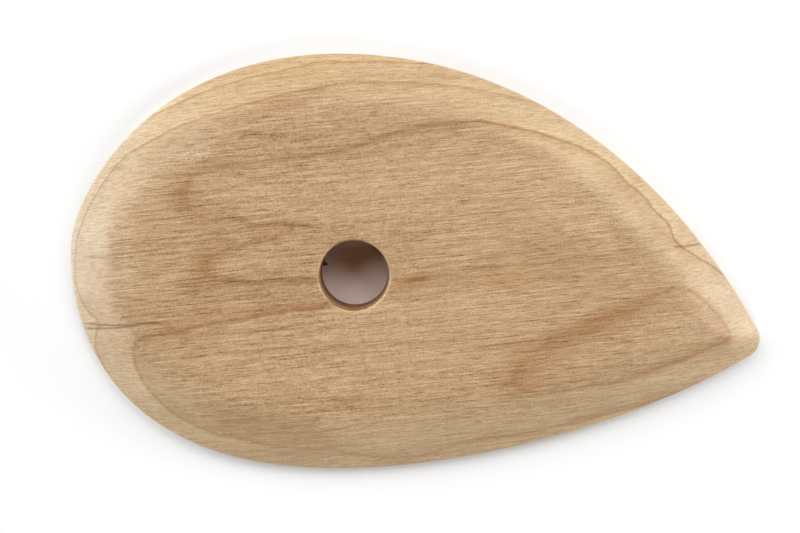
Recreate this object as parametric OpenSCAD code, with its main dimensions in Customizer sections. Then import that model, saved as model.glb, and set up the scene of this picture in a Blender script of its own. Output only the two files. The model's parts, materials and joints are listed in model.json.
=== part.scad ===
// Pottery rib: a teardrop slab of hardwood for pressing and smoothing clay.
// One solid piece, drilled once. It lies on its flat back, with its long
// axis along X, the round butt at -X, the nose at +X and the face upwards.
// The origin is at the middle of the back's bounding rectangle.

/* [Blank] */
// Length of the rib, from the butt to the nose
length = 134; // [110:1:170]
// Width of the rib, from the belly to the crown
width = 80.5; // [68:0.5:100]
// Thickness of the board that it is cut from
thickness = 9.5; // [7:0.5:16]

/* [Plan outline] */
// Height of the butt and the nose above the belly, across the width
nose_height = 37.75; // [30:0.25:50]
// Distance of the crown, the highest point, from the butt
crown_from_butt = 58; // [46:1:70]
// Distance of the belly, the lowest point, from the butt
belly_from_butt = 43; // [34:1:60]
// Radius of the nose in plan
nose_r = 3.7; // [2:0.1:8]
// Slope of the upper flank where it meets the nose, in degrees
upper_flank_angle = 50.5; // [42:0.5:58]
// Slope of the lower flank where it meets the nose, in degrees
lower_flank_angle = 40; // [34:0.5:50]

/* [Fullness of the curves] */
// Fullness of the upper butt shoulder near the butt
butt_upper_full = 0.25; // [0.1:0.01:0.6]
// Fullness of the upper butt shoulder near the crown
crown_butt_full = 0.78; // [0.4:0.01:0.9]
// Fullness of the upper flank near the crown
crown_nose_full = 0.40; // [0.2:0.01:0.8]
// Fullness of the upper flank near the nose
nose_upper_full = 0.85; // [0.3:0.01:0.9]
// Fullness of the lower flank near the nose
nose_lower_full = 0.52; // [0.3:0.01:0.8]
// Fullness of the lower flank near the belly
belly_nose_full = 0.60; // [0.3:0.01:0.8]
// Fullness of the lower butt shoulder near the belly
belly_butt_full = 0.84; // [0.4:0.01:0.9]
// Fullness of the lower butt shoulder near the butt
butt_lower_full = 0.26; // [0.1:0.01:0.6]

/* [Working edge] */
// Height of the square land that is left under the bevel
land = 2.5; // [1.8:0.1:4]
// Rounding of the working edge, where the land meets the bevel
edge_r = 1.8; // [0.4:0.1:3]
// Rounding of the edge of the back
back_r = 0.8; // [0.2:0.1:1.2]
// Width of the bevel at the butt
bevel_butt = 10; // [6:0.5:14]
// Width of the bevel at the crown
bevel_crown = 9.5; // [6:0.5:14]
// Width of the bevel along the upper flank, at the nose
bevel_upper = 11; // [6:0.5:14]
// Width of the bevel along the lower flank, at the nose
bevel_lower = 12; // [6:0.5:14]
// Width of the bevel at the belly
bevel_belly = 12; // [6:0.5:14]
// Crowning of the bevel, from 0, flat, to 0.4, well rounded
bevel_round = 0.15; // [0:0.05:0.4]
// Share of the bevel's width that fades into the face
bevel_fade = 0.14; // [0.04:0.02:0.3]
// Radius of the face's own corner behind the nose
face_nose_r = 1.3; // [0.6:0.1:4]

/* [Finger hole] */
// Diameter of the drilled finger hole
hole_d = 12.7; // [8:0.1:20]
// Distance of the hole's axis from the butt
hole_from_butt = 53.4; // [40:0.1:70]
// Height of the hole's axis above the belly, across the width
hole_height = 39.4; // [30:0.1:48]
// Rounding of the hole's rims
rim_r = 0.5; // [0.2:0.1:1]

/* [Hidden] */

// Steps along each of the four long curves and along each half of the nose
curve_steps = 26;
nose_steps = 4;
// Steps round the finger hole, and round a full turn of its rims' rounding
hole_steps = 96;
rim_steps = 24;
// Steps of the cross-section: its roundings at the back and the working edge, the
// bevel, and the bevel's fade into the face
back_steps = 3;
edge_steps = 3;
bevel_steps = 3;
fade_steps = 3;
// How far a cutter runs past the surface that it cuts
past = 1;

butt_x = -length / 2;
belly_y = -width / 2;
axis_y = belly_y + nose_height;
hole_at = [butt_x + hole_from_butt, belly_y + hole_height];

// Along and square to the flanks at the nose
upper_along = [cos(upper_flank_angle), -sin(upper_flank_angle)];
upper_out = [sin(upper_flank_angle), cos(upper_flank_angle)];
lower_along = [cos(lower_flank_angle), sin(lower_flank_angle)];
lower_out = [sin(lower_flank_angle), -cos(lower_flank_angle)];
nose_centre = [length / 2 - nose_r, axis_y];

function mix(a, b, share) = a + share * (b - a);

// Where the line from p along u meets the line from q along v
function meet(p, u, q, v) = p + u * cross(q - p, v) / cross(u, v);

// Steps of a curve from a to b that leaves and arrives along the lines to their corner
function bow(a, corner, b, full_a, full_b) =
    let (c = mix(a, corner, full_a), d = mix(b, corner, full_b))
    [for (i = [0 : curve_steps - 1])
        let (t = i / curve_steps, s = 1 - t)
        s * s * s * a + 3 * s * s * t * c + 3 * s * t * t * d + t * t * t * b];

// Steps of an arc of radius r about a centre, from one angle to another
function sweep(centre, r, from, to) =
    [for (i = [0 : nose_steps - 1])
        let (a = mix(from, to, i / nose_steps))
        centre + r * [cos(a), sin(a)]];

// Closed plan curve, clockwise from the butt, set in from the outline by its own
// distance at each side, with a nose of radius r
function plan(at_butt, at_crown, at_upper, at_lower, at_belly, r) =
    let (
        butt = [butt_x + at_butt, axis_y],
        crown = [butt_x + crown_from_butt, width / 2 - at_crown],
        belly = [butt_x + belly_from_butt, belly_y + at_belly],
        centre = meet(
            nose_centre + (nose_r - r - at_upper) * upper_out, upper_along,
            nose_centre + (nose_r - r - at_lower) * lower_out, lower_along),
        upper = centre + r * upper_out,
        lower = centre + r * lower_out,
        upper_corner = meet(crown, [1, 0], upper, upper_along),
        lower_corner = meet(belly, [1, 0], lower, lower_along)
    )
    concat(
        bow(butt, [butt.x, crown.y], crown, butt_upper_full, crown_butt_full),
        bow(crown, upper_corner, upper, crown_nose_full, nose_upper_full),
        sweep(centre, r, 90 - upper_flank_angle, 0),
        sweep(centre, r, 0, lower_flank_angle - 90),
        bow(lower, lower_corner, belly, nose_lower_full, belly_nose_full),
        bow(belly, [butt.x, belly.y], butt, belly_butt_full, butt_lower_full));

outline = plan(0, 0, 0, 0, 0, nose_r);
face = plan(bevel_butt, bevel_crown, bevel_upper, bevel_lower, bevel_belly, face_nose_r);

// The bevel's height above the land at a share t of its width, crowned, and
// faded into the face over the last stretch
rise = thickness - land;
function crowned(t) = (1 + bevel_round) * t - bevel_round * t * t;
fade_from = 1 - bevel_fade;
fade_low = crowned(fade_from);
fade_slope = 1 + bevel_round - 2 * bevel_round * fade_from;
fade_end = fade_from + 2 * (1 - fade_low) / fade_slope;
function faded(t) =
    let (s = (t - fade_from) / (fade_end - fade_from))
    fade_low + (1 - fade_low) * (2 * s - s * s);

// The bevel's slope at the working edge, and how far down the land the rounding
// of that edge reaches, which is no further than the land allows
bend = atan(rise * (1 + bevel_round) / bevel_crown);
edge_share = tan((90 - bend) / 2);
edge_fit = min(edge_r, (land - back_r) / edge_share);
edge_reach = edge_fit * edge_share;
bevel_from = edge_fit * (1 - sin(bend)) / bevel_crown;

// Cross-section from the back to the face: [share of the bevel's width, distance
// set in on top of that share, height]
function back_round(a) = [0, back_r * (1 - cos(a)), back_r * (1 - sin(a))];
function edge_round(a) =
    [0, edge_fit * (1 - cos(a)), land - edge_reach + edge_fit * sin(a)];
section = concat(
    [for (i = [0 : back_steps]) back_round(90 - 90 * i / back_steps)],
    [for (i = [0 : edge_steps]) edge_round((90 - bend) * i / edge_steps)],
    [for (i = [1 : bevel_steps])
        let (t = mix(bevel_from, fade_from, i / bevel_steps))
        [t, 0, land + rise * crowned(t)]],
    [for (i = [1 : fade_steps])
        let (t = mix(fade_from, fade_end, i / fade_steps))
        [t, 0, land + rise * faded(t)]]);

// One level of the loft: each point moves from the outline towards the face
function level(s) =
    [for (i = [0 : len(outline) - 1])
        let (way = face[i] - outline[i], p = outline[i] + way * s[0] + way / norm(way) * s[1])
        [p.x, p.y, s[2]]];

// The blank with its edges worked: a loft through the levels of the section
module shaped_blank() {
    n = len(outline);
    levels = len(section);
    points = [for (s = section) each level(s)];
    back = [[for (i = [n - 1 : -1 : 0]) i]];
    top = [[for (i = [0 : n - 1]) (levels - 1) * n + i]];
    sides = [
        for (k = [0 : levels - 2])
        for (i = [0 : n - 1])
            let (j = (i + 1) % n, a = k * n, b = a + n)
            each [[a + i, b + j, b + i], [a + i, a + j, b + j]]];
    polyhedron(points, concat(back, top, sides), convexity = 4);
}

// Half the section of what the drill and the rounding of both rims take away
module hole_section() {
    difference() {
        translate([0, -past])
            square([hole_d / 2 + rim_r, thickness + 2 * past]);
        translate([hole_d / 2 + rim_r, rim_r]) {
            circle(r = rim_r, $fn = rim_steps);
            translate([0, thickness - 2 * rim_r])
                circle(r = rim_r, $fn = rim_steps);
            translate([-rim_r, 0])
                square([2 * rim_r, thickness - 2 * rim_r]);
        }
    }
}

module finger_hole() {
    translate([hole_at.x, hole_at.y, 0])
        rotate_extrude($fn = hole_steps)
            hole_section();
}

module rib() {
    color([0.76, 0.64, 0.50])
        difference() {
            shaped_blank();
            finger_hole();
        }
}

rib();
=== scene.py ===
"""A teardrop pottery rib of flat-sawn hardwood, lying face up on a white table.

The rib is lofted as one closed skin through its own cross-section, from the rim of the finger hole
on its back, round the working edge, over the bevel and the face, and down through the hole. Its
growth layers are one smooth field through the board, so every ring runs on over face, bevel and edge.
Lengths are in metres.
"""

import json
import logging
import math
from collections.abc import Callable, Sequence
from dataclasses import astuple, dataclass, field
from enum import IntEnum

import bmesh
import bpy
import numpy as np
from mathutils import Matrix, Vector
from mathutils.bvhtree import BVHTree


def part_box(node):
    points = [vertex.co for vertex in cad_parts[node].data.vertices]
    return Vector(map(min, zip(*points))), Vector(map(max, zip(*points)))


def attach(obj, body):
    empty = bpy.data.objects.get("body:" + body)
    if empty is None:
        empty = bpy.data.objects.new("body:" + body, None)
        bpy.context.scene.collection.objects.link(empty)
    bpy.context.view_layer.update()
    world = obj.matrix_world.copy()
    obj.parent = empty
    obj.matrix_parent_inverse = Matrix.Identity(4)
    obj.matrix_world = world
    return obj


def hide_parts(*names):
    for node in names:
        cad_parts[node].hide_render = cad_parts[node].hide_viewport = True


LOG = logging.getLogger("pottery_rib")
MM = 0.001

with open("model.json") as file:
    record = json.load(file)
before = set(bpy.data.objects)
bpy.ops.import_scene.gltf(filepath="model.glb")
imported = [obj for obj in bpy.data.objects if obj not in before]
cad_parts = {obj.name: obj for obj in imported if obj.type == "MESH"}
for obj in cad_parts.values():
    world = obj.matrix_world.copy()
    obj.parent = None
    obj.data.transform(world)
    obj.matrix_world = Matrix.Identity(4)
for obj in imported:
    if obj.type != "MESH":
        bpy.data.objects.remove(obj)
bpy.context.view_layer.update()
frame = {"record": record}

Pair = tuple[float, float]
Pixel = Pair
Tone = tuple[float, float, float]
Numbers = np.ndarray


def operator(operation: str, swapped: bool = False) -> Callable[["Wire", "Value"], "Wire"]:
    """Makes one of a wire's operators.

    Args:
        operation: The Math node's operation.
        swapped: Whether the wire stands on the right.

    Returns:
        The method.
    """
    def apply(self: "Wire", other: "Value") -> "Wire":
        """Returns the result for a wire and a value."""
        return self.net.math(operation, *((other, self) if swapped else (self, other)))
    return apply


class Wire:
    """A shader value that arithmetic turns into Math nodes."""

    def __init__(self, net: "Net", socket: bpy.types.NodeSocket) -> None:
        """Wraps one output socket of a net."""
        self.net = net
        self.socket = socket

    __add__ = operator("ADD")
    __radd__ = operator("ADD", swapped=True)
    __sub__ = operator("SUBTRACT")
    __rsub__ = operator("SUBTRACT", swapped=True)
    __mul__ = operator("MULTIPLY")
    __truediv__ = operator("DIVIDE")

    def __neg__(self) -> "Wire":
        """Returns -self."""
        return self * -1.0


Value = Wire | float | int | tuple[float, ...]


class Net:
    """The node net of one material."""

    def __init__(self, name: str) -> None:
        """Makes a new material with an empty net."""
        self.material = bpy.data.materials.new(name)
        self.material.use_nodes = True
        self.tree = self.material.node_tree
        self.tree.nodes.clear()

    def node(self, kind: str, settings: dict | None = None, inputs: dict | None = None) -> bpy.types.Node:
        """Adds one node.

        Args:
            kind: The node's type, without its ShaderNode prefix.
            settings: The node's own settings, which are set first.
            inputs: The values or links of its input sockets, by name or place.

        Returns:
            The new node.
        """
        made = self.tree.nodes.new("ShaderNode" + kind)
        for key, value in (settings or {}).items():
            setattr(made, key, value)
        for key, value in (inputs or {}).items():
            if isinstance(value, Wire):
                self.tree.links.new(value.socket, made.inputs[key])
            else:
                made.inputs[key].default_value = value
        return made

    def wire(self, kind: str, settings: dict | None = None, inputs: dict | None = None,
             output: str | int = 0) -> Wire:
        """Adds one node and takes one of its outputs.

        Args:
            kind: The node's type, without its ShaderNode prefix.
            settings: The node's own settings.
            inputs: The values or links of its input sockets.
            output: The name or place of the output.

        Returns:
            The output as a wire.
        """
        return Wire(self, self.node(kind, settings, inputs).outputs[output])

    def math(self, operation: str, *values: Value, clamp: bool = False) -> Wire:
        """Adds a Math node.

        Args:
            operation: The node's operation.
            *values: Its inputs, in order.
            clamp: Whether the result is held between 0 and 1.

        Returns:
            The result.
        """
        return self.wire("Math", {"operation": operation, "use_clamp": clamp}, dict(enumerate(values)))

    def held(self, value: Wire) -> Wire:
        """Returns a value held between 0 and 1."""
        return self.math("ADD", value, 0.0, clamp=True)

    def rise(self, value: Wire, low: float, high: float) -> Wire:
        """Smooth step from 0 to 1.

        Args:
            value: The value that the step follows.
            low: Where the step starts.
            high: Where it ends, which may lie below low.

        Returns:
            0 before low, 1 past high and a smooth rise between them.
        """
        settings = {"interpolation_type": "SMOOTHSTEP"}
        return self.wire("MapRange", settings, {"Value": value, "From Min": low, "From Max": high})

    def blend(self, share: Value, first: Value, second: Value, how: str = "MIX") -> Wire:
        """Mixes two colours.

        Args:
            share: The share of the second colour.
            first: The first colour.
            second: The second colour.
            how: The Mix node's blend type.

        Returns:
            The mixed colour.
        """
        colours = {0: share}
        for place, colour in ((6, first), (7, second)):
            colours[place] = colour if isinstance(colour, Wire) else (*colour, 1.0)
        return self.wire("Mix", {"data_type": "RGBA", "blend_type": how}, colours, output=2)

    def dot(self, vector: Wire, axis: Vector) -> Wire:
        """Returns how far a vector reaches along an axis."""
        settings = {"operation": "DOT_PRODUCT"}
        return self.wire("VectorMath", settings, {0: vector, 1: tuple(axis)}, output="Value")

    def distance(self, place: Wire, centre: Vector) -> Wire:
        """Returns how far a place is from a centre in plan, if it lies in the plan's plane itself."""
        level = (centre[0], centre[1], 0.0)
        return self.wire("VectorMath", {"operation": "DISTANCE"}, {0: place, 1: level}, output="Value")

    def attribute(self, name: str) -> Wire:
        """Returns a number that is stored on the skin."""
        return self.wire("Attribute", {"attribute_name": name}, output="Fac")

    def point(self, x: Value, y: Value, z: Value) -> Wire:
        """Returns the vector of three values."""
        return self.wire("CombineXYZ", None, {0: x, 1: y, 2: z})


@dataclass(frozen=True)
class Viewpoint:
    """Where the picture was taken from, nearly straight above the rib.

    Attributes:
        picture: Width and height of the picture in pixels.
        foot: The pixel that lies straight below the lens.
        focal: Focal length in pixels.
        heading: Turn about the vertical, in degrees.
        place: The lens, in the rib's own frame.
        sensor: Width of the sensor in millimetres.
    """

    picture: Pixel = (800, 533)
    foot: Pixel = (374, 213)
    focal: float = 701.0
    heading: float = 8.797
    place: Vector = Vector((-11.755, 10.853, 135.6)) * MM
    sensor: float = 36.0

    def sight(self, pixel: Pixel) -> Vector:
        """Returns the direction of a pixel in the camera's own axes."""
        return Vector((pixel[0] - self.picture[0] / 2, self.picture[1] / 2 - pixel[1], -self.focal))

    def turn(self) -> Matrix:
        """Returns the camera's rotation, which points the foot's sight line straight down."""
        upright = self.sight(self.foot).rotation_difference(Vector((0, 0, -1))).to_matrix()
        return Matrix.Rotation(math.radians(self.heading), 3, "Z") @ upright

    def look(self, pixel: Pixel) -> Vector:
        """Returns the direction of a pixel in the rib's frame."""
        return (self.turn() @ self.sight(pixel)).normalized()

    def on_skin(self, pixel: Pixel, skin: BVHTree) -> Vector | None:
        """Returns the point of a skin that a pixel shows, or None where it shows none."""
        return skin.ray_cast(self.place, self.look(pixel))[0]

    def set_up(self) -> None:
        """Makes the scene's camera."""
        data = bpy.data.cameras.new("camera")
        data.sensor_width = self.sensor
        data.lens = self.focal / self.picture[0] * self.sensor
        data.clip_start, data.clip_end = 0.005, 10.0
        camera = bpy.data.objects.new("camera", data)
        camera.matrix_world = Matrix.Translation(self.place) @ self.turn().to_4x4()
        bpy.context.scene.collection.objects.link(camera)
        bpy.context.scene.camera = camera
        LOG.info("camera: %.1f mm lens", data.lens)


class Side(IntEnum):
    """Named places round the plan, in the order in which its loops pass them."""

    BUTT = 0
    SHOULDER = 1
    CROWN = 2
    UPPER_FLANK = 3
    NOSE = 4
    LOWER_FLANK = 5
    BELLY = 6
    HEEL = 7


@dataclass(frozen=True)
class Plan:
    """The teardrop in plan: four bowed curves and a round nose.

    Attributes:
        low: Lowest corner of the rib's box.
        high: Highest corner of the rib's box.
        bow_steps: Stations along each bowed curve.
        nose_steps: Stations along each half of the nose.
    """

    low: Vector
    high: Vector
    bow_steps: int = 44
    nose_steps: int = 8
    nose_height: float = 37.75 * MM
    crown_from_butt: float = 58 * MM
    belly_from_butt: float = 43 * MM
    nose_r: float = 3.7 * MM
    upper_flank: float = math.radians(50.5)
    lower_flank: float = math.radians(40)
    butt_upper_full: float = 0.25
    crown_butt_full: float = 0.78
    crown_nose_full: float = 0.40
    nose_upper_full: float = 0.85
    nose_lower_full: float = 0.52
    belly_nose_full: float = 0.60
    belly_butt_full: float = 0.84
    butt_lower_full: float = 0.26

    @property
    def stations(self) -> int:
        """Number of stations round the plan."""
        return 4 * self.bow_steps + 2 * self.nose_steps

    def place_of(self, side: Side) -> float:
        """Returns the station at a named place."""
        bow, nose = self.bow_steps, self.nose_steps
        places = (0, bow / 2, bow, bow * 1.5, 2 * bow + nose, 2.5 * bow + 2 * nose, 3 * bow + 2 * nose,
                  3.5 * bow + 2 * nose)
        return places[side]

    def spread(self, values: dict[Side, float]) -> Numbers:
        """Spreads values at the named places over every station.

        Args:
            values: A value at each of some named places.

        Returns:
            One value for each station, eased from place to place.
        """
        places = [self.place_of(side) for side in values]
        course = np.arange(self.stations)
        rough = np.interp(course, places, list(values.values()), period=self.stations)
        reach = self.bow_steps // 4
        padded = np.concatenate([rough[-reach:], rough, rough[:reach]])
        return np.convolve(padded, np.full(2 * reach + 1, 1 / (2 * reach + 1)), mode="valid")

    @staticmethod
    def meet(p: Numbers, u: Numbers, q: Numbers, v: Numbers) -> Numbers:
        """Returns where the line from p along u meets the line from q along v."""
        across = u[0] * v[1] - u[1] * v[0]
        return p + u * ((q[0] - p[0]) * v[1] - (q[1] - p[1]) * v[0]) / across

    def bow(self, start: Numbers, corner: Numbers, end: Numbers, full: Pair) -> Numbers:
        """Stations of a curve that leaves and arrives along the lines to its corner.

        Args:
            start: Its first point.
            corner: Where the lines along which it leaves and arrives meet.
            end: The point at which it arrives, which is left to the next curve.
            full: How far the curve fills its corner, near its start and near its end.

        Returns:
            The stations' points.
        """
        leave, arrive = start + full[0] * (corner - start), end + full[1] * (corner - end)
        t = np.linspace(0, 1, self.bow_steps, endpoint=False)[:, None]
        s = 1 - t
        return s**3 * start + 3 * s * s * t * leave + 3 * s * t * t * arrive + t**3 * end

    def sweep(self, centre: Numbers, r: float, first: float, last: float) -> Numbers:
        """Returns the stations of an arc about a centre, from one angle towards another."""
        angles = np.linspace(first, last, self.nose_steps, endpoint=False)
        return centre + r * np.stack([np.cos(angles), np.sin(angles)], axis=1)

    def loop(self, inset: dict[Side, float], nose_r: float) -> Numbers:
        """One closed loop of stations, clockwise from the butt.

        Args:
            inset: How far the butt, the crown, both flanks and the belly are set in.
            nose_r: Radius of this loop's nose.

        Returns:
            The stations' points.
        """
        along = np.array([1.0, 0.0])
        upper_along = np.array([math.cos(self.upper_flank), -math.sin(self.upper_flank)])
        upper_out = np.array([math.sin(self.upper_flank), math.cos(self.upper_flank)])
        lower_along = np.array([math.cos(self.lower_flank), math.sin(self.lower_flank)])
        lower_out = np.array([math.sin(self.lower_flank), -math.cos(self.lower_flank)])
        axis_y = self.low.y + self.nose_height
        nose = np.array([self.high.x - self.nose_r, axis_y])
        butt = np.array([self.low.x + inset[Side.BUTT], axis_y])
        crown = np.array([self.low.x + self.crown_from_butt, self.high.y - inset[Side.CROWN]])
        belly = np.array([self.low.x + self.belly_from_butt, self.low.y + inset[Side.BELLY]])
        smaller = self.nose_r - nose_r
        centre = self.meet(nose + (smaller - inset[Side.UPPER_FLANK]) * upper_out, upper_along,
                           nose + (smaller - inset[Side.LOWER_FLANK]) * lower_out, lower_along)
        upper, lower = centre + nose_r * upper_out, centre + nose_r * lower_out
        shoulder_corner, heel_corner = np.array([butt[0], crown[1]]), np.array([butt[0], belly[1]])
        upper_corner = self.meet(crown, along, upper, upper_along)
        lower_corner = self.meet(belly, along, lower, lower_along)
        quarter = math.pi / 2
        return np.concatenate([
            self.bow(butt, shoulder_corner, crown, (self.butt_upper_full, self.crown_butt_full)),
            self.bow(crown, upper_corner, upper, (self.crown_nose_full, self.nose_upper_full)),
            self.sweep(centre, nose_r, quarter - self.upper_flank, 0.0),
            self.sweep(centre, nose_r, 0.0, self.lower_flank - quarter),
            self.bow(lower, lower_corner, belly, (self.nose_lower_full, self.belly_nose_full)),
            self.bow(belly, heel_corner, butt, (self.belly_butt_full, self.butt_lower_full)),
        ])


@dataclass(frozen=True)
class EdgeWork:
    """The hand-worked edge: land, rounded working edge, bevel and its fade into the face.

    Attributes:
        inset: Width of the bevel at the named places.
        face_nose_r: Radius of the face's own corner behind the nose.
        land_share: Share of the land, above the back's rounding, that the working edge may take.
        crowning: How far the bevel is rounded at the named places, from 0, flat.
        fading: Share of the bevel's width that fades into the face at the named places.
    """

    land: float = 2.5 * MM
    edge_r: float = 1.8 * MM
    back_r: float = 0.8 * MM
    land_share: float = 0.95
    face_nose_r: float = 1.3 * MM
    inset: dict[Side, float] = field(default_factory=lambda: {
        Side.BUTT: 10 * MM, Side.CROWN: 9.5 * MM, Side.UPPER_FLANK: 11 * MM,
        Side.LOWER_FLANK: 12 * MM, Side.BELLY: 12 * MM})
    crowning: dict[Side, float] = field(default_factory=lambda: {
        Side.BUTT: 0.10, Side.SHOULDER: 0.25, Side.CROWN: 0.42, Side.UPPER_FLANK: 0.10,
        Side.NOSE: 0.15, Side.LOWER_FLANK: 0.15, Side.BELLY: 0.15, Side.HEEL: 0.25})
    fading: dict[Side, float] = field(default_factory=lambda: {
        Side.BUTT: 0.16, Side.SHOULDER: 0.32, Side.CROWN: 0.24, Side.UPPER_FLANK: 0.15,
        Side.NOSE: 0.30, Side.LOWER_FLANK: 0.24, Side.BELLY: 0.26, Side.HEEL: 0.28})
    back_steps: int = 4
    land_steps: int = 2
    edge_steps: int = 5
    bevel_steps: int = 9
    fade_steps: int = 5

    def rows(self, plan: Plan, thickness: float) -> list[Numbers]:
        """The loops from the edge of the back up to the edge of the face.

        Args:
            plan: The plan that the loops follow.
            thickness: Thickness of the board.

        Returns:
            One loop of points for each step of the cross-section.
        """
        outline = plan.loop({side: 0.0 for side in self.inset}, plan.nose_r)
        face = plan.loop(self.inset, self.face_nose_r)
        way = face - outline
        width = np.linalg.norm(way, axis=1)
        inward = way / width[:, None]
        crowning, fading = plan.spread(self.crowning), plan.spread(self.fading)
        rise = thickness - self.land
        bend = np.arctan(rise * (1 + crowning) / width)
        reach_share = np.tan((math.pi / 2 - bend) / 2)
        edge_fit = np.minimum(self.edge_r, (self.land - self.back_r) * self.land_share / reach_share)
        bevel_from = edge_fit * (1 - np.sin(bend)) / width
        fade_from = 1 - fading
        fade_low = (1 + crowning) * fade_from - crowning * fade_from**2
        fade_slope = 1 + crowning - 2 * crowning * fade_from
        fade_end = fade_from + 2 * (1 - fade_low) / fade_slope
        rows: list[Numbers] = []

        def add(distance: Numbers | float, height: Numbers | float) -> None:
            """Adds the loop that lies a distance in from the outline, at a height."""
            flat = outline + inward * np.broadcast_to(distance, width.shape)[:, None]
            rows.append(np.column_stack([flat, np.broadcast_to(height, width.shape)]))

        for step in range(self.back_steps + 1):
            angle = math.pi / 2 * (1 - step / self.back_steps)
            add(self.back_r * (1 - math.cos(angle)), self.back_r * (1 - math.sin(angle)))
        edge_foot = self.land - edge_fit * reach_share
        for step in range(1, self.land_steps):
            add(0.0, self.back_r + (edge_foot - self.back_r) * step / self.land_steps)
        for step in range(self.edge_steps + 1):
            angle = (math.pi / 2 - bend) * step / self.edge_steps
            add(edge_fit * (1 - np.cos(angle)), edge_foot + edge_fit * np.sin(angle))
        for step in range(1, self.bevel_steps + 1):
            t = bevel_from + (fade_from - bevel_from) * step / self.bevel_steps
            add(t * width, self.land + rise * ((1 + crowning) * t - crowning * t * t))
        for step in range(1, self.fade_steps + 1):
            s = step / self.fade_steps
            t = fade_from + (fade_end - fade_from) * s
            add(t * width, self.land + rise * (fade_low + (1 - fade_low) * (2 * s - s * s)))
        return rows


@dataclass(frozen=True)
class FingerHole:
    """The drilled finger hole with its rounded rims.

    Attributes:
        centre: The hole's axis in plan.
        r: Radius of the drilled wall.
    """

    centre: Vector
    r: float
    rim_r: float = 0.5 * MM
    rim_steps: int = 4
    wall_steps: int = 9
    evenness: float = 0.55

    def angles(self, outline: Numbers) -> Numbers:
        """Angle at which each station reaches the hole.

        Args:
            outline: The outline's stations.

        Returns:
            The angles, between the stations' own directions and an even spacing.
        """
        away = outline - np.array(self.centre[:2])
        own = np.unwrap(np.arctan2(away[:, 1], away[:, 0]))
        even = own[0] + np.linspace(0, -2 * math.pi, len(own), endpoint=False)
        return own + self.evenness * (even - own)

    def ring(self, angles: Numbers, r: float, height: float) -> Numbers:
        """Returns the loop at a radius and a height."""
        flat = np.array(self.centre[:2]) + r * np.stack([np.cos(angles), np.sin(angles)], axis=1)
        return np.column_stack([flat, np.full(len(angles), height)])

    def rows(self, angles: Numbers, thickness: float) -> list[Numbers]:
        """The loops from the upper rim down to the lower one, both included.

        Args:
            angles: Angle of each station.
            thickness: Thickness of the board.

        Returns:
            The loops, downwards.
        """
        turns = [math.pi / 2 * step / self.rim_steps for step in range(self.rim_steps + 1)]
        lip = [(self.r + self.rim_r * (1 - math.sin(a)), self.rim_r * (1 - math.cos(a))) for a in turns]
        straight = thickness - 2 * self.rim_r
        wall = [self.rim_r + straight * step / self.wall_steps for step in range(1, self.wall_steps)]
        rows = [self.ring(angles, r, thickness - depth) for r, depth in lip]
        rows += [self.ring(angles, self.r, thickness - depth) for depth in wall]
        rows += [self.ring(angles, r, depth) for r, depth in reversed(lip)]
        return rows


@dataclass(frozen=True)
class HandWork:
    """Where the hand or the drill left the plan, in millimetres and degrees.

    Attributes:
        mitre: The inner and the outer end of the mitre behind the nose, in plan.
        sag: How far the mitre sags towards the belly.
        sag_x: Where along the rib it sags most, and how far the sag reaches from there.
        sag_across: How far the sag reaches across the mitre.
        sag_z: Heights between which the sag sets in.
        sliver: Bearing, half the width, height and length of the sliver at the hole's lower rim.
        nick: Bearing, half the width and depth of the nick in its upper rim.
        nick_z: Heights between which the nick sets in.
    """

    mitre: tuple[Pair, Pair] = ((52.4, 0.3), (67.0, -2.5))
    sag: float = 0.95
    sag_x: Pair = (57.3, 6.5)
    sag_across: float = 7.0
    sag_z: Pair = (3.0, 5.0)
    sliver: tuple[float, float, float, float] = (174, 0.5, 0.4, 1.1)
    nick: tuple[float, float, float] = (86, 0.35, 0.3)
    nick_z: Pair = (8.6, 9.2)

    @staticmethod
    def hump(value: Numbers, middle: float, reach: float) -> Numbers:
        """Returns a smooth hump, 1 at the middle and 0 a reach away from it."""
        return np.cos(np.clip((value - middle) / reach, -1, 1) * math.pi / 2)**2

    @staticmethod
    def peak(value: Numbers, middle: float, reach: float) -> Numbers:
        """Returns a straight-sided peak, 1 at the middle and 0 a reach away from it."""
        return np.clip(1 - np.abs(value - middle) / reach, 0, 1)

    @staticmethod
    def ramp(value: Numbers, ends: Pair) -> Numbers:
        """Returns a straight ramp, 0 at its first end and 1 at its second."""
        return np.clip((value - ends[0]) / (ends[1] - ends[0]), 0, 1)

    def shape(self, points: Numbers, hole: FingerHole) -> None:
        """Moves points of the rib's skin.

        Args:
            points: The points, which are changed in place.
            hole: The finger hole.
        """
        x, y, z = points.T / MM
        (start_x, start_y), (end_x, end_y) = self.mitre
        mitre = start_y + (end_y - start_y) * (x - start_x) / (end_x - start_x)
        sag = self.hump(x, *self.sag_x) * self.hump(y - mitre, 0.0, self.sag_across)
        points[:, 1] -= self.sag * MM * sag * self.ramp(z, self.sag_z)

        away = points[:, :2] - np.array(hole.centre[:2])
        radius = np.hypot(away[:, 0], away[:, 1])
        bearing = np.degrees(np.arctan2(away[:, 1], away[:, 0]))
        degree = math.radians(hole.r / MM)
        at, half, height, length = self.sliver
        sliver = self.peak(bearing, at, half / degree) * self.peak(z, height, height) * length
        at, half, depth = self.nick
        nick = self.peak(bearing, at, half / degree) * self.ramp(z, self.nick_z) * depth
        change = np.where(np.abs(radius - hole.r) < 2 * hole.rim_r, nick - sliver, 0.0) * MM
        points[:, :2] += away / np.maximum(radius, 1e-9)[:, None] * change[:, None]


@dataclass(frozen=True)
class RingLook:
    """How a growth ring looks where it comes to the surface.

    Attributes:
        line: Darkness of its fine line.
        width: Half the width of that line, in millimetres.
        outside: Strength of the amber tone that fades away from the line outwards, or of a paler
            tone where it is below 0.
        inside: The same, inwards.
    """

    line: float
    width: float
    outside: float
    inside: float


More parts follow.
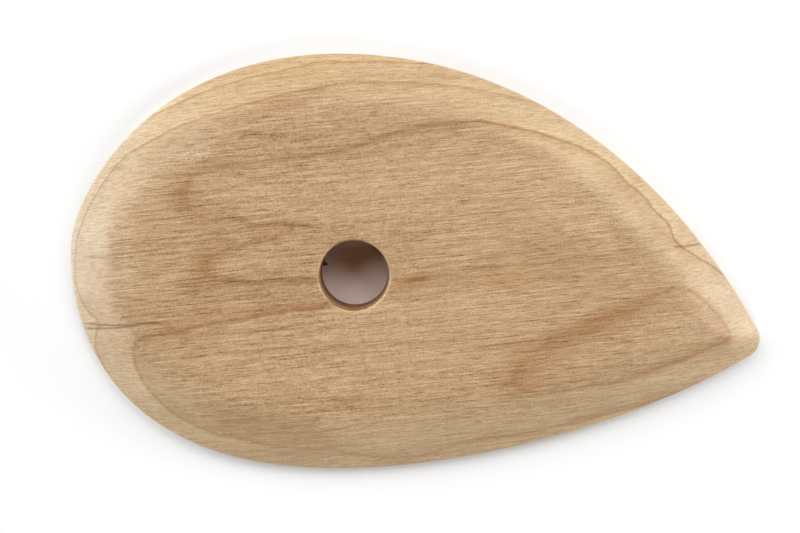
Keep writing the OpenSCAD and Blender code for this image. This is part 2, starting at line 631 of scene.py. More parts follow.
@dataclass(frozen=True)
class RingTrace:
    """One stretch of a growth ring as it shows on the rib.

    Attributes:
        level: The ring's count, outwards from the middle of the pattern.
        pixels: Points that it passes through in the picture.
        look: How it looks there, or None between the rings.
    """

    level: float
    pixels: tuple[Pixel, ...]
    look: RingLook | None


@dataclass(frozen=True)
class GrowthLayers:
    """The growth layers as one smooth field through the board.

    Attributes:
        traces: The rings that the field follows.
        spacing: Thickness of one layer, measured down through the board.
        stiffness: How much the field is smoothed between its guide points.
        reach: Distance over which one look of a ring passes into the next.
        apartness: How little the looks of one ring count on another.
    """

    traces: tuple[RingTrace, ...]
    spacing: float = 6.0 * MM
    stiffness: float = 3e-4
    reach: float = 3.0 * MM
    apartness: float = 3.0

    @staticmethod
    def kernel(distance: Numbers) -> Numbers:
        """Returns the thin plate's bend at a distance, in board units."""
        return np.where(distance > 0, distance**2 * np.log(np.maximum(distance, 1e-9)), 0.0)

    def guides(self, view: Viewpoint, skin: BVHTree, top: float) -> tuple[Numbers, Numbers]:
        """Guide points of the field on the plane of the face.

        Args:
            view: The viewpoint of the picture.
            skin: The rib's finished shape.
            top: Height of the face.

        Returns:
            Rows of x, y and the ring count at the height of the face, and rows of x, y, the ring count
            and the four values of the ring's look.
        """
        found, looks = [], []
        for trace in self.traces:
            for pixel in trace.pixels:
                point = view.on_skin(pixel, skin)
                if point is None:
                    LOG.warning("no wood at pixel %s of ring %s", pixel, trace.level)
                    continue
                found.append((point.x, point.y, trace.level - (top - point.z) / self.spacing))
                if trace.look:
                    looks.append((point.x, point.y, trace.level, *astuple(trace.look)))
        return np.array(found), np.array(looks)

    def measure(self, guides: Numbers, points: Numbers, top: float) -> Numbers:
        """Ring count at points of the board.

        Args:
            guides: The guide points.
            points: The points to measure.
            top: Height of the face.

        Returns:
            One ring count for each point.
        """
        scale = float(np.abs(guides[:, :2]).max())
        known, value = guides[:, :2] / scale, guides[:, 2]
        count = len(known)
        apart = np.linalg.norm(known[:, None] - known[None], axis=2)
        flat = np.column_stack([np.ones(count), known])
        system = np.zeros((count + 3, count + 3))
        system[:count, :count] = self.kernel(apart) + self.stiffness * np.eye(count)
        system[:count, count:] = flat
        system[count:, :count] = flat.T
        weights = np.linalg.solve(system, np.concatenate([value, np.zeros(3)]))
        asked = points[:, :2] / scale
        total = np.column_stack([np.ones(len(asked)), asked]) @ weights[count:]
        for at, weight in zip(known, weights[:count]):
            total += weight * self.kernel(np.linalg.norm(asked - at, axis=1))
        return total + (top - points[:, 2]) / self.spacing

    def slope(self, guides: Numbers, points: Numbers, normals: Numbers, top: float) -> Numbers:
        """How fast the ring count changes along the surface.

        Args:
            guides: The guide points.
            points: Points of the surface.
            normals: The surface's normals there.
            top: Height of the face.

        Returns:
            Rings per metre at each point.
        """
        step = 0.2 * MM
        here = self.measure(guides, points, top)
        rise = np.column_stack([(self.measure(guides, points + step * axis, top) - here) / step
                                for axis in np.eye(3)])
        along = rise - normals * (rise * normals).sum(axis=1)[:, None]
        return np.linalg.norm(along, axis=1)

    def looks_at(self, looks: Numbers, points: Numbers, count: Numbers) -> Numbers:
        """Looks of the nearest ring, passing smoothly from one stretch to the next.

        Args:
            looks: The rows of looks that guides() gives.
            points: The points to dress.
            count: The ring count at each.

        Returns:
            Rows of line, width, outside and inside.
        """
        weights = np.full(len(points), 1e-12)
        total = weights[:, None] * looks[:, 3:].mean(axis=0)
        for x, y, level, *look in looks:
            apart = np.hypot(points[:, 0] - x, points[:, 1] - y) / self.reach
            weight = np.exp(-self.apartness * np.abs(count - level)) / (1.0 + apart**2)**2
            total += weight[:, None] * np.array(look)
            weights += weight
        return total / weights[:, None]


RINGS = tuple(RingTrace(level, pixels, look and RingLook(*look)) for level, look, pixels in (
    # The pale heart's line: its tip, its upper arm over the face, the crown and the upper flank
    (0, (0.1, 0.9, 0.8, 0.35), ((200, 214), (192, 209), (187, 200), (190, 190), (192, 180), (200, 172))),
    (0, (0.5, 0.9, 0.35, 0.4), ((215, 166), (235, 163), (265, 161), (290, 158), (330, 153), (355, 147),
     (375, 140), (395, 133), (420, 128), (440, 124))),
    (0, (0.7, 0.6, -0.35, 0.65), ((462, 121), (482, 121), (510, 126), (540, 133), (562, 140), (590, 151),
     (612, 166), (627, 182), (645, 197))),
    (0, (1, 0.45, -0.2, 0.3), ((656, 214), (665, 219), (671, 230), (676, 242), (681, 247), (697, 257),
     (710, 265))),
    # Its lower arm, the hairpin above the hole, and the arm below that
    (0, (0.65, 0.8, 0.25, 0.2), ((215, 219), (245, 222), (275, 224), (292, 225.5))),
    (0, (0.6, 0.8, 0.4, 0.15), ((292, 232), (280, 235), (265, 239), (250, 243), (230, 249))),
    (0, (0.05, 0.9, 1, 0.6), ((210, 260), (205, 266), (208, 274))),
    (0, (0.7, 0.8, 0.3, 0.2), ((220, 279), (240, 281), (275, 281), (300, 281), (318, 280))),
    # The line from the double mark at the butt to the hole, and round the heel
    (0, (0.8, 0.7, 0.6, 0.2), ((325, 305), (300, 308.5), (275, 313), (255, 316.5), (235, 320), (210, 324.5),
     (180, 331), (160, 335.5), (140, 339))),
    (0, (0.38, 0.75, -0.2, 0.42), ((134, 345), (133, 355), (137, 370), (146, 387), (160, 402), (175, 415),
     (195, 426), (215, 434), (245, 440))),
    (0, (0.35, 0.8, 0.1, 0.25), ((275, 446), (310, 450), (345, 453), (375, 457), (410, 459))),
    # The amber tongue behind the nose
    (-1, (0.25, 1, 0.7, 0.8), ((520, 386), (512, 380), (515, 372), (525, 360))),
    (-1, (0.1, 1.1, 0.45, 0.75), ((540, 348), (564, 331), (590, 320), (615, 310), (640, 302), (652, 295))),
    (-1, (0.5, 0.7, 0.15, 0.35), ((670, 289), (687, 289), (702, 299), (715, 312), (725, 325), (731, 336))),
    (-1, (0.32, 0.9, 0.2, 0.5), ((725, 341), (712, 347), (690, 357), (660, 368), (630, 378), (600, 384),
     (565, 390), (540, 392))),
    # The line along the butt, the shoulder and the crown
    (1, (0.6, 0.45, -0.1, 0.2), ((75, 270), (76, 287), (84, 305), (92, 316), (99, 322), (97, 331),
     (95, 339), (97, 352), (102, 362))),
    (1, (0.7, 0.4, 0, 0.3), ((113, 170), (127, 155), (147, 143), (167, 132))),
    (1, (0.5, 0.4, -0.15, 0.35), ((204, 117), (235, 107), (285, 94), (330, 85), (350, 82), (407, 82),
     (450, 85), (485, 91), (525, 100))),
    # The line outside that
    (2, (0.7, 0.42, -0.5, 0.15), ((160, 112), (172, 106), (200, 94), (235, 82), (251, 77), (285, 70),
     (327, 61), (350, 62), (400, 62), (416, 63))),
    # The tone between the lines
    (-0.5, None, ((260, 190), (340, 185), (430, 165), (520, 170), (590, 200), (470, 210), (620, 225))),
    (0.08, None, ((275, 229.5),)),
    (0.2, None, ((235, 234),)),
    (0.3, None, ((195, 235),)),
    (-0.04, None, ((306, 228), (330, 228), (340, 234))),
    (-0.16, None, ((255, 262), (290, 258), (314, 252))),
    (0.1, None, ((300, 291), (320, 292))),
    (-0.5, None, ((190, 370), (230, 385), (300, 370), (380, 350), (300, 410), (400, 415), (470, 410))),
    (-0.15, None, ((450, 272), (500, 265), (575, 262), (640, 252))),
    (-0.06, None, ((410, 278), (425, 277))),
    (-0.45, None, ((420, 320), (480, 315), (560, 300), (620, 285), (680, 265))),
    (-1.45, None, ((605, 353), (670, 330), (700, 325))),
    (-1.2, None, ((552, 371),)),
    (0.35, None, ((110, 240), (125, 290), (150, 215), (150, 300))),
    (0.22, None, ((240, 302),)),
    (0.45, None, ((300, 125), (220, 140), (160, 165))),
    (0.5, None, ((330, 463),)),
))


@dataclass(frozen=True)
class Mark:
    """A streak, pore, stain or shade that runs straight over the wood.

    Attributes:
        start: The pixel at its left end.
        end: The pixel at its right end.
        width: Half its width, in millimetres.
        share: How strong it is.
        soft: How far in from its edge it reaches its full strength, as a share of its width.
        tone: What it multiplies the wood's colour by.
        taper: How far in from its ends it reaches its full strength, as a share of its length.
    """

    start: Pixel
    end: Pixel
    width: float
    share: float
    soft: float
    tone: Tone
    taper: float = 1.0


UMBER = (0.50, 0.36, 0.26)
AMBER = (0.80, 0.67, 0.54)
# Ochre wood tone, and painted shade at the heel and at the hole's rim.
OCHRE_AND_SHADE = (0.86, 0.77, 0.66)
RUST = (0.90, 0.73, 0.50)
DULL = (0.86, 0.80, 0.74)
# Paler wood, and painted sheen on the butt and the shoulder.
PALE_AND_SHEEN = (1.20, 1.24, 1.36)
# Painted cool sheen on the butt and the shoulder.
COOL_SHEEN = (1.02, 1.09, 1.20)


def marks_of(tone: Tone, soft: float, *rows: tuple) -> tuple[Mark, ...]:
    """Makes marks of one tone and softness.

    Args:
        tone: Their tone.
        soft: Their softness.
        *rows: The two ends, half the width and the strength of each, and its taper where it isn't 1.

    Returns:
        The marks.
    """
    return tuple(Mark(start, end, width, share, soft, tone, *taper)
                 for start, end, width, share, *taper in rows)


MARKS = (
    # The double dark line across the butt, thin tails over the upper flank, and pores of the face
    *marks_of(UMBER, 0.7,
        ((86, 323.2), (160, 322.6), 0.32, 0.8, 0.3), ((87, 327.9), (136, 325.8), 0.3, 0.8, 0.3),
        ((126, 325), (190, 321), 0.5, 0.35), ((676, 247), (699, 244.6), 0.32, 0.75, 0.3),
        ((640, 254.5), (680, 248.5), 0.35, 0.35), ((284, 225), (330, 227.5), 0.45, 0.4),
        ((436, 276), (505, 264), 0.5, 0.25), ((79, 257.5), (118, 256), 0.45, 0.5),
        ((206, 387), (240, 382), 0.13, 0.8), ((256, 371.5), (280, 367.8), 0.13, 0.65),
        ((324, 401.5), (356, 399), 0.22, 0.6), ((282, 106.5), (304, 104.5), 0.22, 0.45),
        ((254, 118), (276, 115.5), 0.22, 0.45), ((462, 157), (484, 154.5), 0.2, 0.6),
        ((518, 167.5), (542, 164.5), 0.22, 0.6), ((450, 390.5), (472, 388), 0.2, 0.55)),
    # The dark core of the streak beside the hole, and a faint line at the heel
    *marks_of(UMBER, 1.0,
        ((128, 327), (139, 338), 0.55, 0.3), ((400, 281.5), (434, 277.5), 0.6, 0.7)),
    # Amber: the trough beside the hole, the tongue and the nose, and bands along the rings. Beside the
    # hole's lower right rim and at the mitre behind the nose it is also painted shade that dims the
    # highlights there
    *marks_of(AMBER, 1.0,
        ((656, 234), (700, 260), 2, 0.6), ((384, 294), (440, 276), 2.2, 0.55, 0.5),
        ((400, 286), (600, 272), 2.2, 0.45), ((276, 224.5), (328, 227), 0.8, 0.95),
        ((420, 275), (560, 262), 1.6, 0.3), ((212, 312), (330, 304), 0.9, 0.3),
        ((500, 266), (665, 252), 1.8, 0.25), ((448, 353), (566, 337), 1.3, 0.7),
        ((526, 364), (676, 286), 3.8, 0.8), ((552, 312), (594, 297), 2, 0.8),
        ((592, 380), (652, 366), 1.1, 0.35), ((388, 218), (416, 215), 0.7, 0.45),
        ((682, 337), (718, 332), 1, 0.4), ((660, 263), (706, 262), 1.1, 0.4),
        ((530, 367), (588, 350), 1.8, 0.45), ((688, 284), (738, 343), 2.8, 0.55),
        ((704, 318), (734, 344), 2.6, 0.75), ((182, 172), (178, 218), 3.2, 0.55),
        ((380, 90), (510, 112), 1.8, 0.35), ((420, 106), (560, 138), 2.2, 0.4),
        ((470, 122), (606, 184), 2.6, 0.6), ((590, 160), (680, 256), 2.2, 0.35),
        ((210, 248), (212, 286), 2.8, 0.45), ((345, 378), (392, 366), 1.6, 0.5),
        ((330, 404), (372, 396), 1.2, 0.5)),
    # Ochre: the bevel's inner edges; painted shade on the heel's lower bevel and along its bottom edge, and
    # over a stretch of the hole's upper rim, where it dims the highlight
    *marks_of(OCHRE_AND_SHADE, 1.0,
        ((646, 240), (706, 300), 3, 0.8), ((440, 292), (690, 268), 4.5, 0.35),
        ((196, 126), (330, 96), 1.9, 1, 0.6), ((236, 106), (312, 99), 1.7, 0.75),
        ((86, 256), (110, 296), 3.2, 0.75), ((82, 262), (94, 302), 2, 0.4),
        ((238, 448), (336, 458), 1.3, 0.45), ((364, 306.5), (384.5, 293.5), 0.55, 0.7, 0.5),
        ((200, 414), (340, 440), 4.8, 0.95, 0.5)),
    # More orange, beside the hole and behind the nose
    *marks_of(RUST, 1.0,
        ((390, 282.5), (428, 275.5), 1.3, 0.8, 0.5), ((664, 280), (736, 342), 2.6, 0.4),
        ((640, 352), (738, 338), 1.6, 0.45), ((592, 387), (736, 341), 2.1, 0.5)),
    # Duller wood at the shoulder
    *marks_of(DULL, 1.0,
        ((124, 178), (206, 116), 2.6, 0.7)),
    # Paler wood on the face, the nose and the heel, and painted sheen on the bevels of the butt and the
    # shoulder, with cooler painted sheen beside them
    *marks_of(PALE_AND_SHEEN, 1.0,
        ((632, 336), (700, 314), 2.8, 0.45), ((490, 156), (640, 252), 6.5, 0.9),
        ((176, 166), (222, 140), 2.2, 0.9), ((122, 306), (138, 185), 3.6, 0.7),
        ((536, 241), (584, 231), 2.4, 0.45), ((103, 345), (162, 412), 4.2, 0.4)),
    *marks_of(COOL_SHEEN, 1.0,
        ((124, 300), (134, 236), 2.4, 0.55), ((168, 168), (214, 146), 2.4, 0.7)),
)


@dataclass(frozen=True)
class Streaks:
    """One kind of noise that is stretched along the fibres.

    Attributes:
        long: Length of one cell along the fibres, in millimetres.
        wide: Its width across them, in millimetres.
        seed: Moves the pattern, so that two of them differ.
        share: How strong it is.
    """

    long: float
    wide: float
    seed: float
    share: float


@dataclass(frozen=True)
class WoodLook:
    """The streaks and the tones of bare, fine-sanded hardwood.

    Attributes:
        fine: Fine streaks, from specks to long ribbons.
        pores: Dark pores and dashes.
        broad: Broad veins and bands, which are as strong everywhere.
        pore_from_to: Noise at which a pore sets in and is full.
        lift: Lightens the face by as much as the pores darken it.
        calm_face: How strong the fine streaks are on the face. They are weaker on end grain and on
            worked edges by the shares that follow.
        bare: Tone of the face between the rings. Those of end grain and worked edges are added to it,
            and it is multiplied by all the others.
        tint: How much the streaks change red, green and blue.
        line_core: Share of a ring line's width that is fully dark.
    """

    fine: tuple[Streaks, ...] = (Streaks(0.3, 0.3, 0.4, 0.74), Streaks(2.0, 0.20, 1.9, 0.58),
                                 Streaks(5, 0.25, 3.1, 0.54), Streaks(18, 0.30, 7.7, 0.42),
                                 Streaks(9, 0.18, 2.6, 0.70))
    pores: tuple[Streaks, ...] = (Streaks(1.2, 0.2, 5.2, 0.21), Streaks(3, 0.2, 8.8, 0.22))
    broad: tuple[Streaks, ...] = (Streaks(30, 3, 5.9, 0.11), Streaks(80, 6, 1.3, 0.30))
    pore_from_to: Pair = (0.10, 0.20)
    lift: float = 0.05
    calm_face: float = 0.96
    calm_end_grain: float = 0.42
    calm_worked: float = 0.24
    bare: Tone = (0.427, 0.274, 0.142)
    end_grain: Tone = (0.062, 0.100, 0.106)
    worked: Tone = (0.062, 0.048, 0.020)
    # Painted sheen: a cool lightening of slopes that face the butt's side, where a low light grazes them.
    painted_sheen: Tone = (1.10, 1.22, 1.40)
    ring_line: Tone = (0.68, 0.53, 0.38)
    ring_pale: Tone = (1.25, 1.29, 1.20)
    drilled: Tone = (0.78, 0.59, 0.42)
    # Painted shade: darkens the hole's wall towards its bottom.
    painted_depth_shade: Tone = (0.44, 0.30, 0.21)
    tint: Tone = (0.78, 1.0, 1.28)
    roughness: float = 0.55
    specular: float = 0.5
    bump_strength: float = 0.2
    bump_height: float = 0.02 * MM
    line_core: float = 0.1


class WoodFinish:
    """Bare, fine-sanded hardwood: growth rings, fibre streaks, pores and a warm, uneven tone."""

    def __init__(self, fibre: Vector, hole: FingerHole) -> None:
        """Takes what the finish follows.

        Args:
            fibre: The direction in which the wood's fibres run.
            hole: The finger hole, whose wall is darker, with painted shade towards its bottom.
        """
        self.net = Net("sanded_hardwood")
        self.look = WoodLook()
        self.hole = hole
        self.fibre = fibre.normalized()
        self.across = Vector((0, 0, 1)).cross(self.fibre).normalized()
        self.depth = self.fibre.cross(self.across).normalized()
        self.overrun = 0.55
        self.slab = 6.0
        self.wander = (Streaks(20, 1.5, 4.4, 0.6), Streaks(5, 0.4, 6.1, 0.6))
        self.sway = Streaks(9, 3, 9.3, 0.6)
        self.drilled_from_to = (hole.r + 0.10 * MM, hole.r + 0.02 * MM)
        # Heights between which the painted shade in the hole sets in.
        self.painted_depth_shade_from_to = (8.8 * MM, 3.5 * MM)
        self.steepest = 60.0
        self.turn = 0.015
        self.wash = 0.30
        self.place = self.net.wire("TexCoord", output="Object")

    def noise(self, streaks: Streaks) -> Wire:
        """Returns the noise of one kind of streaks, which is 0 on average."""
        net, wide = self.net, streaks.wide * MM
        where = net.point(net.dot(self.place, self.fibre / (streaks.long * MM)) + streaks.seed,
                          net.dot(self.place, self.across / wide),
                          net.dot(self.place, self.depth / (wide * self.slab)))
        return net.wire("TexNoise", None, {"Vector": where, "Scale": 1.0, "Detail": 0.0}) - 0.5

    def thread(self, end_grain: Wire, worked: Wire) -> Wire:
        """The fine streaks, pores and specks.

        Args:
            end_grain: How far the surface cuts across the fibres, where the streaks are calmer.
            worked: How far it is a worked edge, which is sanded finer.

        Returns:
            A relative change of the wood's brightness.
        """
        net, look = self.net, self.look
        fine: Value = look.lift
        for streaks in look.fine:
            fine = fine + self.noise(streaks) * streaks.share
        for streaks in look.pores:
            fine = fine - net.rise(self.noise(streaks), *look.pore_from_to) * streaks.share
        total = fine * (look.calm_face - end_grain * look.calm_end_grain - worked * look.calm_worked)
        for streaks in look.broad:
            total = total + self.noise(streaks) * streaks.share
        return total

    def rings(self, tone: Wire) -> Wire:
        """Lays the growth rings over a tone.

        Args:
            tone: The colour of the wood between the rings.

        Returns:
            The tone with each ring's fine line and the amber that fades away from it.
        """
        net = self.net
        growth, slope = net.attribute("growth"), net.attribute("slope")
        look = net.node("Attribute", {"attribute_name": "ring_look"})
        parts = net.node("SeparateColor", None, {0: Wire(net, look.outputs["Color"])})
        line, width, outside = (Wire(net, parts.outputs[place]) for place in range(3))
        inside = Wire(net, look.outputs["Alpha"])

        wander: Value = 0.0
        for streaks in self.wander:
            wander = wander + self.noise(streaks) * (streaks.share * MM)
        count = growth + wander * net.math("MINIMUM", slope, self.steepest)
        off = count - net.math("ROUND", count)
        apart = net.math("ABSOLUTE", off) / (slope * width * MM + 0.001)
        beyond = net.rise(off, -self.turn, self.turn)
        wash = (outside * beyond * net.rise(off, self.wash, 0.0)
                + inside * (1.0 - beyond) * net.rise(off, -self.wash, 0.0))
        tone = net.blend(net.held(wash), tone, AMBER, "MULTIPLY")
        tone = net.blend(net.held(-wash), tone, self.look.ring_pale, "MULTIPLY")
        share = line * net.rise(apart, 1.0, self.look.line_core)
        return net.blend(share, tone, self.look.ring_line, "MULTIPLY")

    def marks(self, tone: Wire, places: Sequence[tuple[Mark, Vector, Vector]]) -> Wire:
        """Lays the marks over a tone.

        Args:
            tone: The colour of the wood.
            places: Each mark with its two ends on the wood.

        Returns:
            The marked tone.
        """
        net = self.net
        sway = self.noise(self.sway) * (self.sway.share * MM)
        shift = net.wire("VectorMath", {"operation": "SCALE"}, {0: tuple(self.across), "Scale": sway})
        bent = net.wire("VectorMath", {"operation": "ADD"}, {0: self.place, 1: shift})
        for mark, start, end in places:
            middle, way = (start + end) / 2, end - start
            along = Vector((way.x, way.y, 0.0)).normalized()
            across = Vector((-along.y, along.x, 0.0))
            share: Wire | float = mark.share
            for axis, reach, fade in ((along, way.length * self.overrun, mark.taper),
                                      (across, mark.width * MM, mark.soft)):
                off = net.math("ABSOLUTE", net.dot(bent, axis / reach) - axis.dot(middle) / reach)
                share = net.rise(off, 1.0, 1.0 - fade) * share
            tone = net.blend(share, tone, mark.tone, "MULTIPLY")
        return tone

    def build(self, places: Sequence[tuple[Mark, Vector, Vector]]) -> bpy.types.Material:
        """Makes the material.

        Args:
            places: Each mark with its two ends on the wood.

        Returns:
            The finished material.
        """
        net, look = self.net, self.look
        worked, end_grain, painted_sheen = (net.attribute(name) for name in ("worked", "end_grain", "painted_sheen"))
        thread = self.thread(end_grain, worked)
        tone = net.blend(end_grain, look.bare, look.end_grain, "ADD")
        tone = net.blend(worked, tone, look.worked, "ADD")
        # Painted sheen: slopes that face the butt's side are lightened and cooled.
        tone = net.blend(painted_sheen, tone, look.painted_sheen, "MULTIPLY")
        tone = self.marks(self.rings(tone), places)
        shade = net.point(*(1.0 + thread * share for share in look.tint))
        tone = net.blend(1.0, tone, shade, "MULTIPLY")
        level = net.wire("VectorMath", {"operation": "MULTIPLY"}, {0: self.place, 1: (1.0, 1.0, 0.0)})
        radius = net.distance(level, self.hole.centre)
        drilled = net.rise(radius, *self.drilled_from_to)
        # Painted shade down the hole's wall, darker towards its bottom.
        painted_depth_shade = net.rise(net.dot(self.place, Vector((0, 0, 1))), *self.painted_depth_shade_from_to)
        tone = net.blend(drilled, tone, look.drilled, "MULTIPLY")
        tone = net.blend(drilled * painted_depth_shade, tone, look.painted_depth_shade, "MULTIPLY")
        bump = net.wire("Bump", None, {"Strength": look.bump_strength, "Distance": look.bump_height,
                                         "Height": thread})
        shader = net.wire("BsdfPrincipled", None, {"Base Color": tone, "Roughness": look.roughness,
                                                   "Normal": bump, "Specular IOR Level": look.specular})
        net.node("OutputMaterial", None, {"Surface": shader})
        return net.material


def vectors_of(mesh: bpy.types.Mesh, name: str) -> Numbers:
    """Returns the place ("co") or the normal of each of a mesh's points, as rows."""
    flat = np.empty(len(mesh.vertices) * 3)
    mesh.vertices.foreach_get(name, flat)
    return flat.reshape(-1, 3)


class Rib:
    """The rib itself: one closed skin through the board's edge work and its finger hole."""

    def __init__(self, view: Viewpoint) -> None:
        """Takes the rib's sizes from the frame.

        Args:
            view: The viewpoint of the picture, which places the rings.
        """
        self.view = view
        self.low, self.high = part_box("rib")
        self.thickness = self.high.z - self.low.z
        self.plan = Plan(self.low, self.high)
        self.edge = EdgeWork()
        mount = next(m for m in frame["record"]["mounts"] if m["name"] == "finger_hole")
        self.hole = FingerHole(Vector(mount["pos_m"]), mount["dims"]["r_mm"] * MM)
        self.back_rings = 9
        self.face_rings = 20
        self.layers = GrowthLayers(RINGS)
        fibre_bearing, fibre_rise, painted_sheen_bearing = math.radians(14.3), 0.02, math.radians(172)
        self.fibre = Vector((math.cos(fibre_bearing), math.sin(fibre_bearing), fibre_rise))
        # Slopes that face this bearing get a painted sheen.
        self.painted_sheen_side = np.array([math.cos(painted_sheen_bearing), math.sin(painted_sheen_bearing), 0.0])
        self.painted_sheen_from_to = (0.45, 0.70)
        self.worked_slope = 0.15

    def loops(self) -> list[Numbers]:
        """Returns every loop of the skin, from the hole's lower rim round to its lower rim again."""
        edge = self.edge.rows(self.plan, self.thickness)
        outline = self.plan.loop({side: 0.0 for side in self.edge.inset}, self.plan.nose_r)
        hole = self.hole.rows(self.hole.angles(outline), self.thickness)
        back = [hole[-1] + (edge[0] - hole[-1]) * step / self.back_rings for step in range(self.back_rings)]
        face = [edge[-1] + (hole[0] - edge[-1]) * step / self.face_rings
                for step in range(1, self.face_rings)]
        return back + edge + face + hole[:-1]

    def loft(self, loops: Sequence[Numbers]) -> bpy.types.Object:
        """Skins the loops, by extruding a circle from each loop to the next.

        Args:
            loops: Loops of the same number of points.

        Returns:
            The closed skin.
        """
        bpy.ops.object.select_all(action="DESELECT")
        bpy.ops.mesh.primitive_circle_add(vertices=len(loops[0]), radius=self.hole.r, fill_type="NOTHING")
        skin = bpy.context.object
        skin.name = skin.data.name = "rib_skin"
        station = skin.data.attributes.new("station", "INT", "POINT")
        station.data.foreach_set("value", np.arange(len(loops[0]), dtype=np.int32))
        skin.data.vertices.foreach_set("co", loops[0].ravel())
        bpy.ops.object.mode_set(mode="EDIT")
        bpy.ops.mesh.select_all(action="SELECT")
        for loop in loops[1:]:
            bpy.ops.mesh.extrude_edges_indiv()
            edit = bmesh.from_edit_mesh(skin.data)
            layer = edit.verts.layers.int["station"]
            for vert in edit.verts:
                if vert.select:
                    vert.co = loop[vert[layer]]
            bmesh.update_edit_mesh(skin.data)
        bpy.ops.mesh.select_all(action="DESELECT")
        bpy.ops.mesh.select_mode(type="EDGE")
        bpy.ops.mesh.select_non_manifold(extend=False)
        bpy.ops.mesh.bridge_edge_loops()
        bpy.ops.mesh.select_all(action="SELECT")
        bpy.ops.mesh.normals_make_consistent(inside=False)
        bpy.ops.object.mode_set(mode="OBJECT")
        skin.data.attributes.remove(skin.data.attributes["station"])
        return skin

    def refine(self, skin: bpy.types.Object) -> None:
        """Smooths the skin with one applied subdivision."""
        modifier = skin.modifiers.new("smooth", "SUBSURF")
        modifier.levels = modifier.render_levels = 1
        bpy.ops.object.modifier_apply(modifier=modifier.name)
        bpy.ops.object.shade_smooth()

    def hand_work(self, skin: bpy.types.Object) -> None:
        """Moves points of the skin where the hand or the drill left the plan."""
        points = vectors_of(skin.data, "co")
        HandWork().shape(points, self.hole)
        skin.data.vertices.foreach_set("co", points.ravel())
        skin.data.update()

    def mark_growth(self, skin: bpy.types.Object, tree: BVHTree) -> None:
        """Stores the growth rings, the worked edges and the painted sheen of slopes that face the butt's
        side on the skin, for the finish to read.

        Args:
            skin: The finished skin.
            tree: The same skin, for ray casts.
        """
        mesh = skin.data
        points, normals = vectors_of(mesh, "co"), vectors_of(mesh, "normal")
        top = self.high.z
        guides, looks = self.layers.guides(self.view, tree, top)
        count = self.layers.measure(guides, points, top)
        worked = np.clip((1 - normals[:, 2]) / self.worked_slope, 0, 1)
        end_grain = np.abs(normals @ np.array(self.fibre.normalized()))
        # Painted sheen: how far each slope faces the butt's side, for the cool lightening painted there.
        painted_sheen = HandWork.ramp(normals @ self.painted_sheen_side, self.painted_sheen_from_to)
        values = {"growth": count, "slope": self.layers.slope(guides, points, normals, top),
                  "worked": worked, "end_grain": end_grain, "painted_sheen": painted_sheen}
        for name, value in values.items():
            mesh.attributes.new(name, "FLOAT", "POINT").data.foreach_set("value", value.astype(np.float32))
        look = self.layers.looks_at(looks, points, count)
        mesh.attributes.new("ring_look", "FLOAT_COLOR", "POINT").data.foreach_set(
            "color", look.astype(np.float32).ravel())
        LOG.info("growth: %d guide points, counts %.2f to %.2f", len(guides), count.min(), count.max())

    def marked(self, tree: BVHTree) -> list[tuple[Mark, Vector, Vector]]:
        """Returns each mark with its two ends on the skin."""
        found = []
        for mark in MARKS:
            start, end = (self.view.on_skin(pixel, tree) for pixel in (mark.start, mark.end))
            if start is None or end is None:
                LOG.warning("no wood at the mark from %s", mark.start)
            else:
                found.append((mark, start, end))
        return found

    def make(self) -> bpy.types.Object:
        """Returns the finished rib."""
        skin = self.loft(self.loops())
        self.refine(skin)
        self.hand_work(skin)
        tree = BVHTree.FromObject(skin, bpy.context.evaluated_depsgraph_get())
        self.mark_growth(skin, tree)
        skin.data.materials.append(WoodFinish(self.fibre, self.hole).build(self.marked(tree)))
        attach(skin, "root")
        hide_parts("rib")
        LOG.info("rib: %d faces", len(skin.data.polygons))
        return skin


@dataclass(frozen=True)
class Softbox:
    """One soft light of the studio.

    Attributes:
        name: The light's name.
        bearing: Direction that it comes from, in degrees from the top of the picture, clockwise.
        height: Its height above the table, in degrees.
        size: Width of its square face.
        power: Its power in watts.
        colour: Its colour.
        distance: Its distance from the rib.
    """

    name: str
    bearing: float
    height: float
    size: float
    power: float
    colour: Tone = (1.0, 1.0, 1.0)
    distance: float = 0.9

    def set_up(self, heading: float) -> None:
        """Makes the light and points it at the rib.

        Args:
            heading: The picture's turn about the vertical, in degrees.
        """
        bearing = math.radians(90 - self.bearing + heading)
        height = math.radians(self.height)
        toward = Vector((math.cos(bearing) * math.cos(height), math.sin(bearing) * math.cos(height),
                         math.sin(height)))
        data = bpy.data.lights.new(self.name, "AREA")
        data.size = self.size
        data.energy = self.power
        data.color = self.colour
        light = bpy.data.objects.new(self.name, data)
        light.location = toward * self.distance
        light.rotation_euler = toward.to_track_quat("Z", "Y").to_euler()
        bpy.context.scene.collection.objects.link(light)


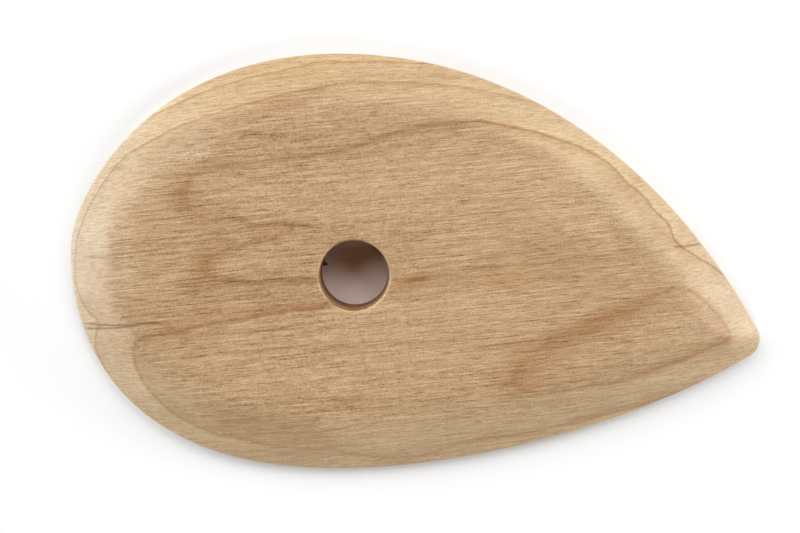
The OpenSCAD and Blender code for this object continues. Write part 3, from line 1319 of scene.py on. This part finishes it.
class Studio:
    """The white table, the soft lights and a plain white backdrop."""

    def __init__(self, view: Viewpoint, hole: FingerHole) -> None:
        """Takes what the lights and the table are placed by.

        Args:
            view: The viewpoint of the picture.
            hole: The finger hole, which no light from below may reach.
        """
        self.view = view
        self.hole = hole
        self.lights = (
            Softbox("left_strip", -90, 12, 0.30, 3.4, (0.98, 1.02, 1.09)),
            Softbox("left_low_box", -45, 22, 0.40, 0.86),
            Softbox("left_high_box", -45, 40, 0.60, 4.55),
            Softbox("back_box", 5, 35, 0.50, 2.10),
            Softbox("spot_box", 25, 50, 0.18, 0.70),
            Softbox("right_high_box", 45, 40, 0.60, 3.24),
            Softbox("right_strip", 85, 12, 0.30, 3.65),
            Softbox("right_front_box", 135, 30, 0.40, 1.66),
            Softbox("front_box", 180, 30, 0.40, 2.72),
            Softbox("under_box", 0, -90, 0.15, 4.0),
        )
        self.table_size = 1.6
        self.table_fade = (0.42, 0.78)
        self.table_tone = (0.86, 0.86, 0.86)
        # Painted shade and light bounced from the wood: the table's colour under the finger hole.
        self.hole_floor_painted_shade = (0.90, 0.77, 0.71)
        self.table_drop = 0.03 * MM
        self.table_roughness = 0.6
        self.table_specular = 0.2

    def table(self) -> None:
        """Makes the table, which fades into the backdrop.

        It shows from above only, and the light from below passes it everywhere but at the finger hole.
        """
        bpy.ops.object.select_all(action="DESELECT")
        bpy.ops.mesh.primitive_plane_add(size=self.table_size, location=(0, 0, -self.table_drop))
        table = bpy.context.object
        table.name = "table"
        net = Net("white_table")
        clear = net.wire("BsdfTransparent")
        place = net.wire("TexCoord", output="Object")
        off_hole = net.distance(place, self.hole.centre)
        past_hole = net.math("GREATER_THAN", off_hole, self.hole.r + self.hole.rim_r)
        # Under the finger hole the table is painted darker and warmer, as painted shade and bounced light.
        tone = net.blend(past_hole, self.hole_floor_painted_shade, self.table_tone)
        coat = net.wire("BsdfPrincipled", None, {"Base Color": tone, "Roughness": self.table_roughness,
                                                 "Specular IOR Level": self.table_specular})
        from_below = net.wire("LightPath", output="Is Shadow Ray") * past_hole
        hidden = net.math("MAXIMUM", net.wire("NewGeometry", output="Backfacing"), from_below)
        off_centre = net.distance(place, Vector())
        hidden = net.math("MAXIMUM", hidden, net.rise(off_centre, *self.table_fade))
        one_sided = net.wire("MixShader", None, {0: hidden, 1: coat, 2: clear})
        net.node("OutputMaterial", None, {"Surface": one_sided})
        table.data.materials.append(net.material)

    def set_up(self) -> None:
        """Makes the table, the lights and a plain white backdrop that gives no light itself."""
        self.table()
        for light in self.lights:
            light.set_up(self.view.heading)
        world = bpy.data.worlds.new("studio")
        world.use_nodes = True
        backdrop = world.node_tree.nodes["Background"]
        backdrop.inputs["Color"].default_value = (1.0, 1.0, 1.0, 1.0)
        seen = world.node_tree.nodes.new("ShaderNodeLightPath").outputs["Is Camera Ray"]
        world.node_tree.links.new(seen, backdrop.inputs["Strength"])
        scene = bpy.context.scene
        scene.world = world
        scene.view_settings.view_transform = "Standard"
        scene.view_settings.look = "None"
        LOG.info("studio: %d lights", len(self.lights))


def main() -> None:
    """Builds the camera, the rib and the studio, in that order."""
    logging.basicConfig(level=logging.INFO, format="%(name)s: %(message)s")
    view = Viewpoint()
    view.set_up()
    rib = Rib(view)
    rib.make()
    Studio(view, rib.hole).set_up()


if __name__ == "__main__":
    main()
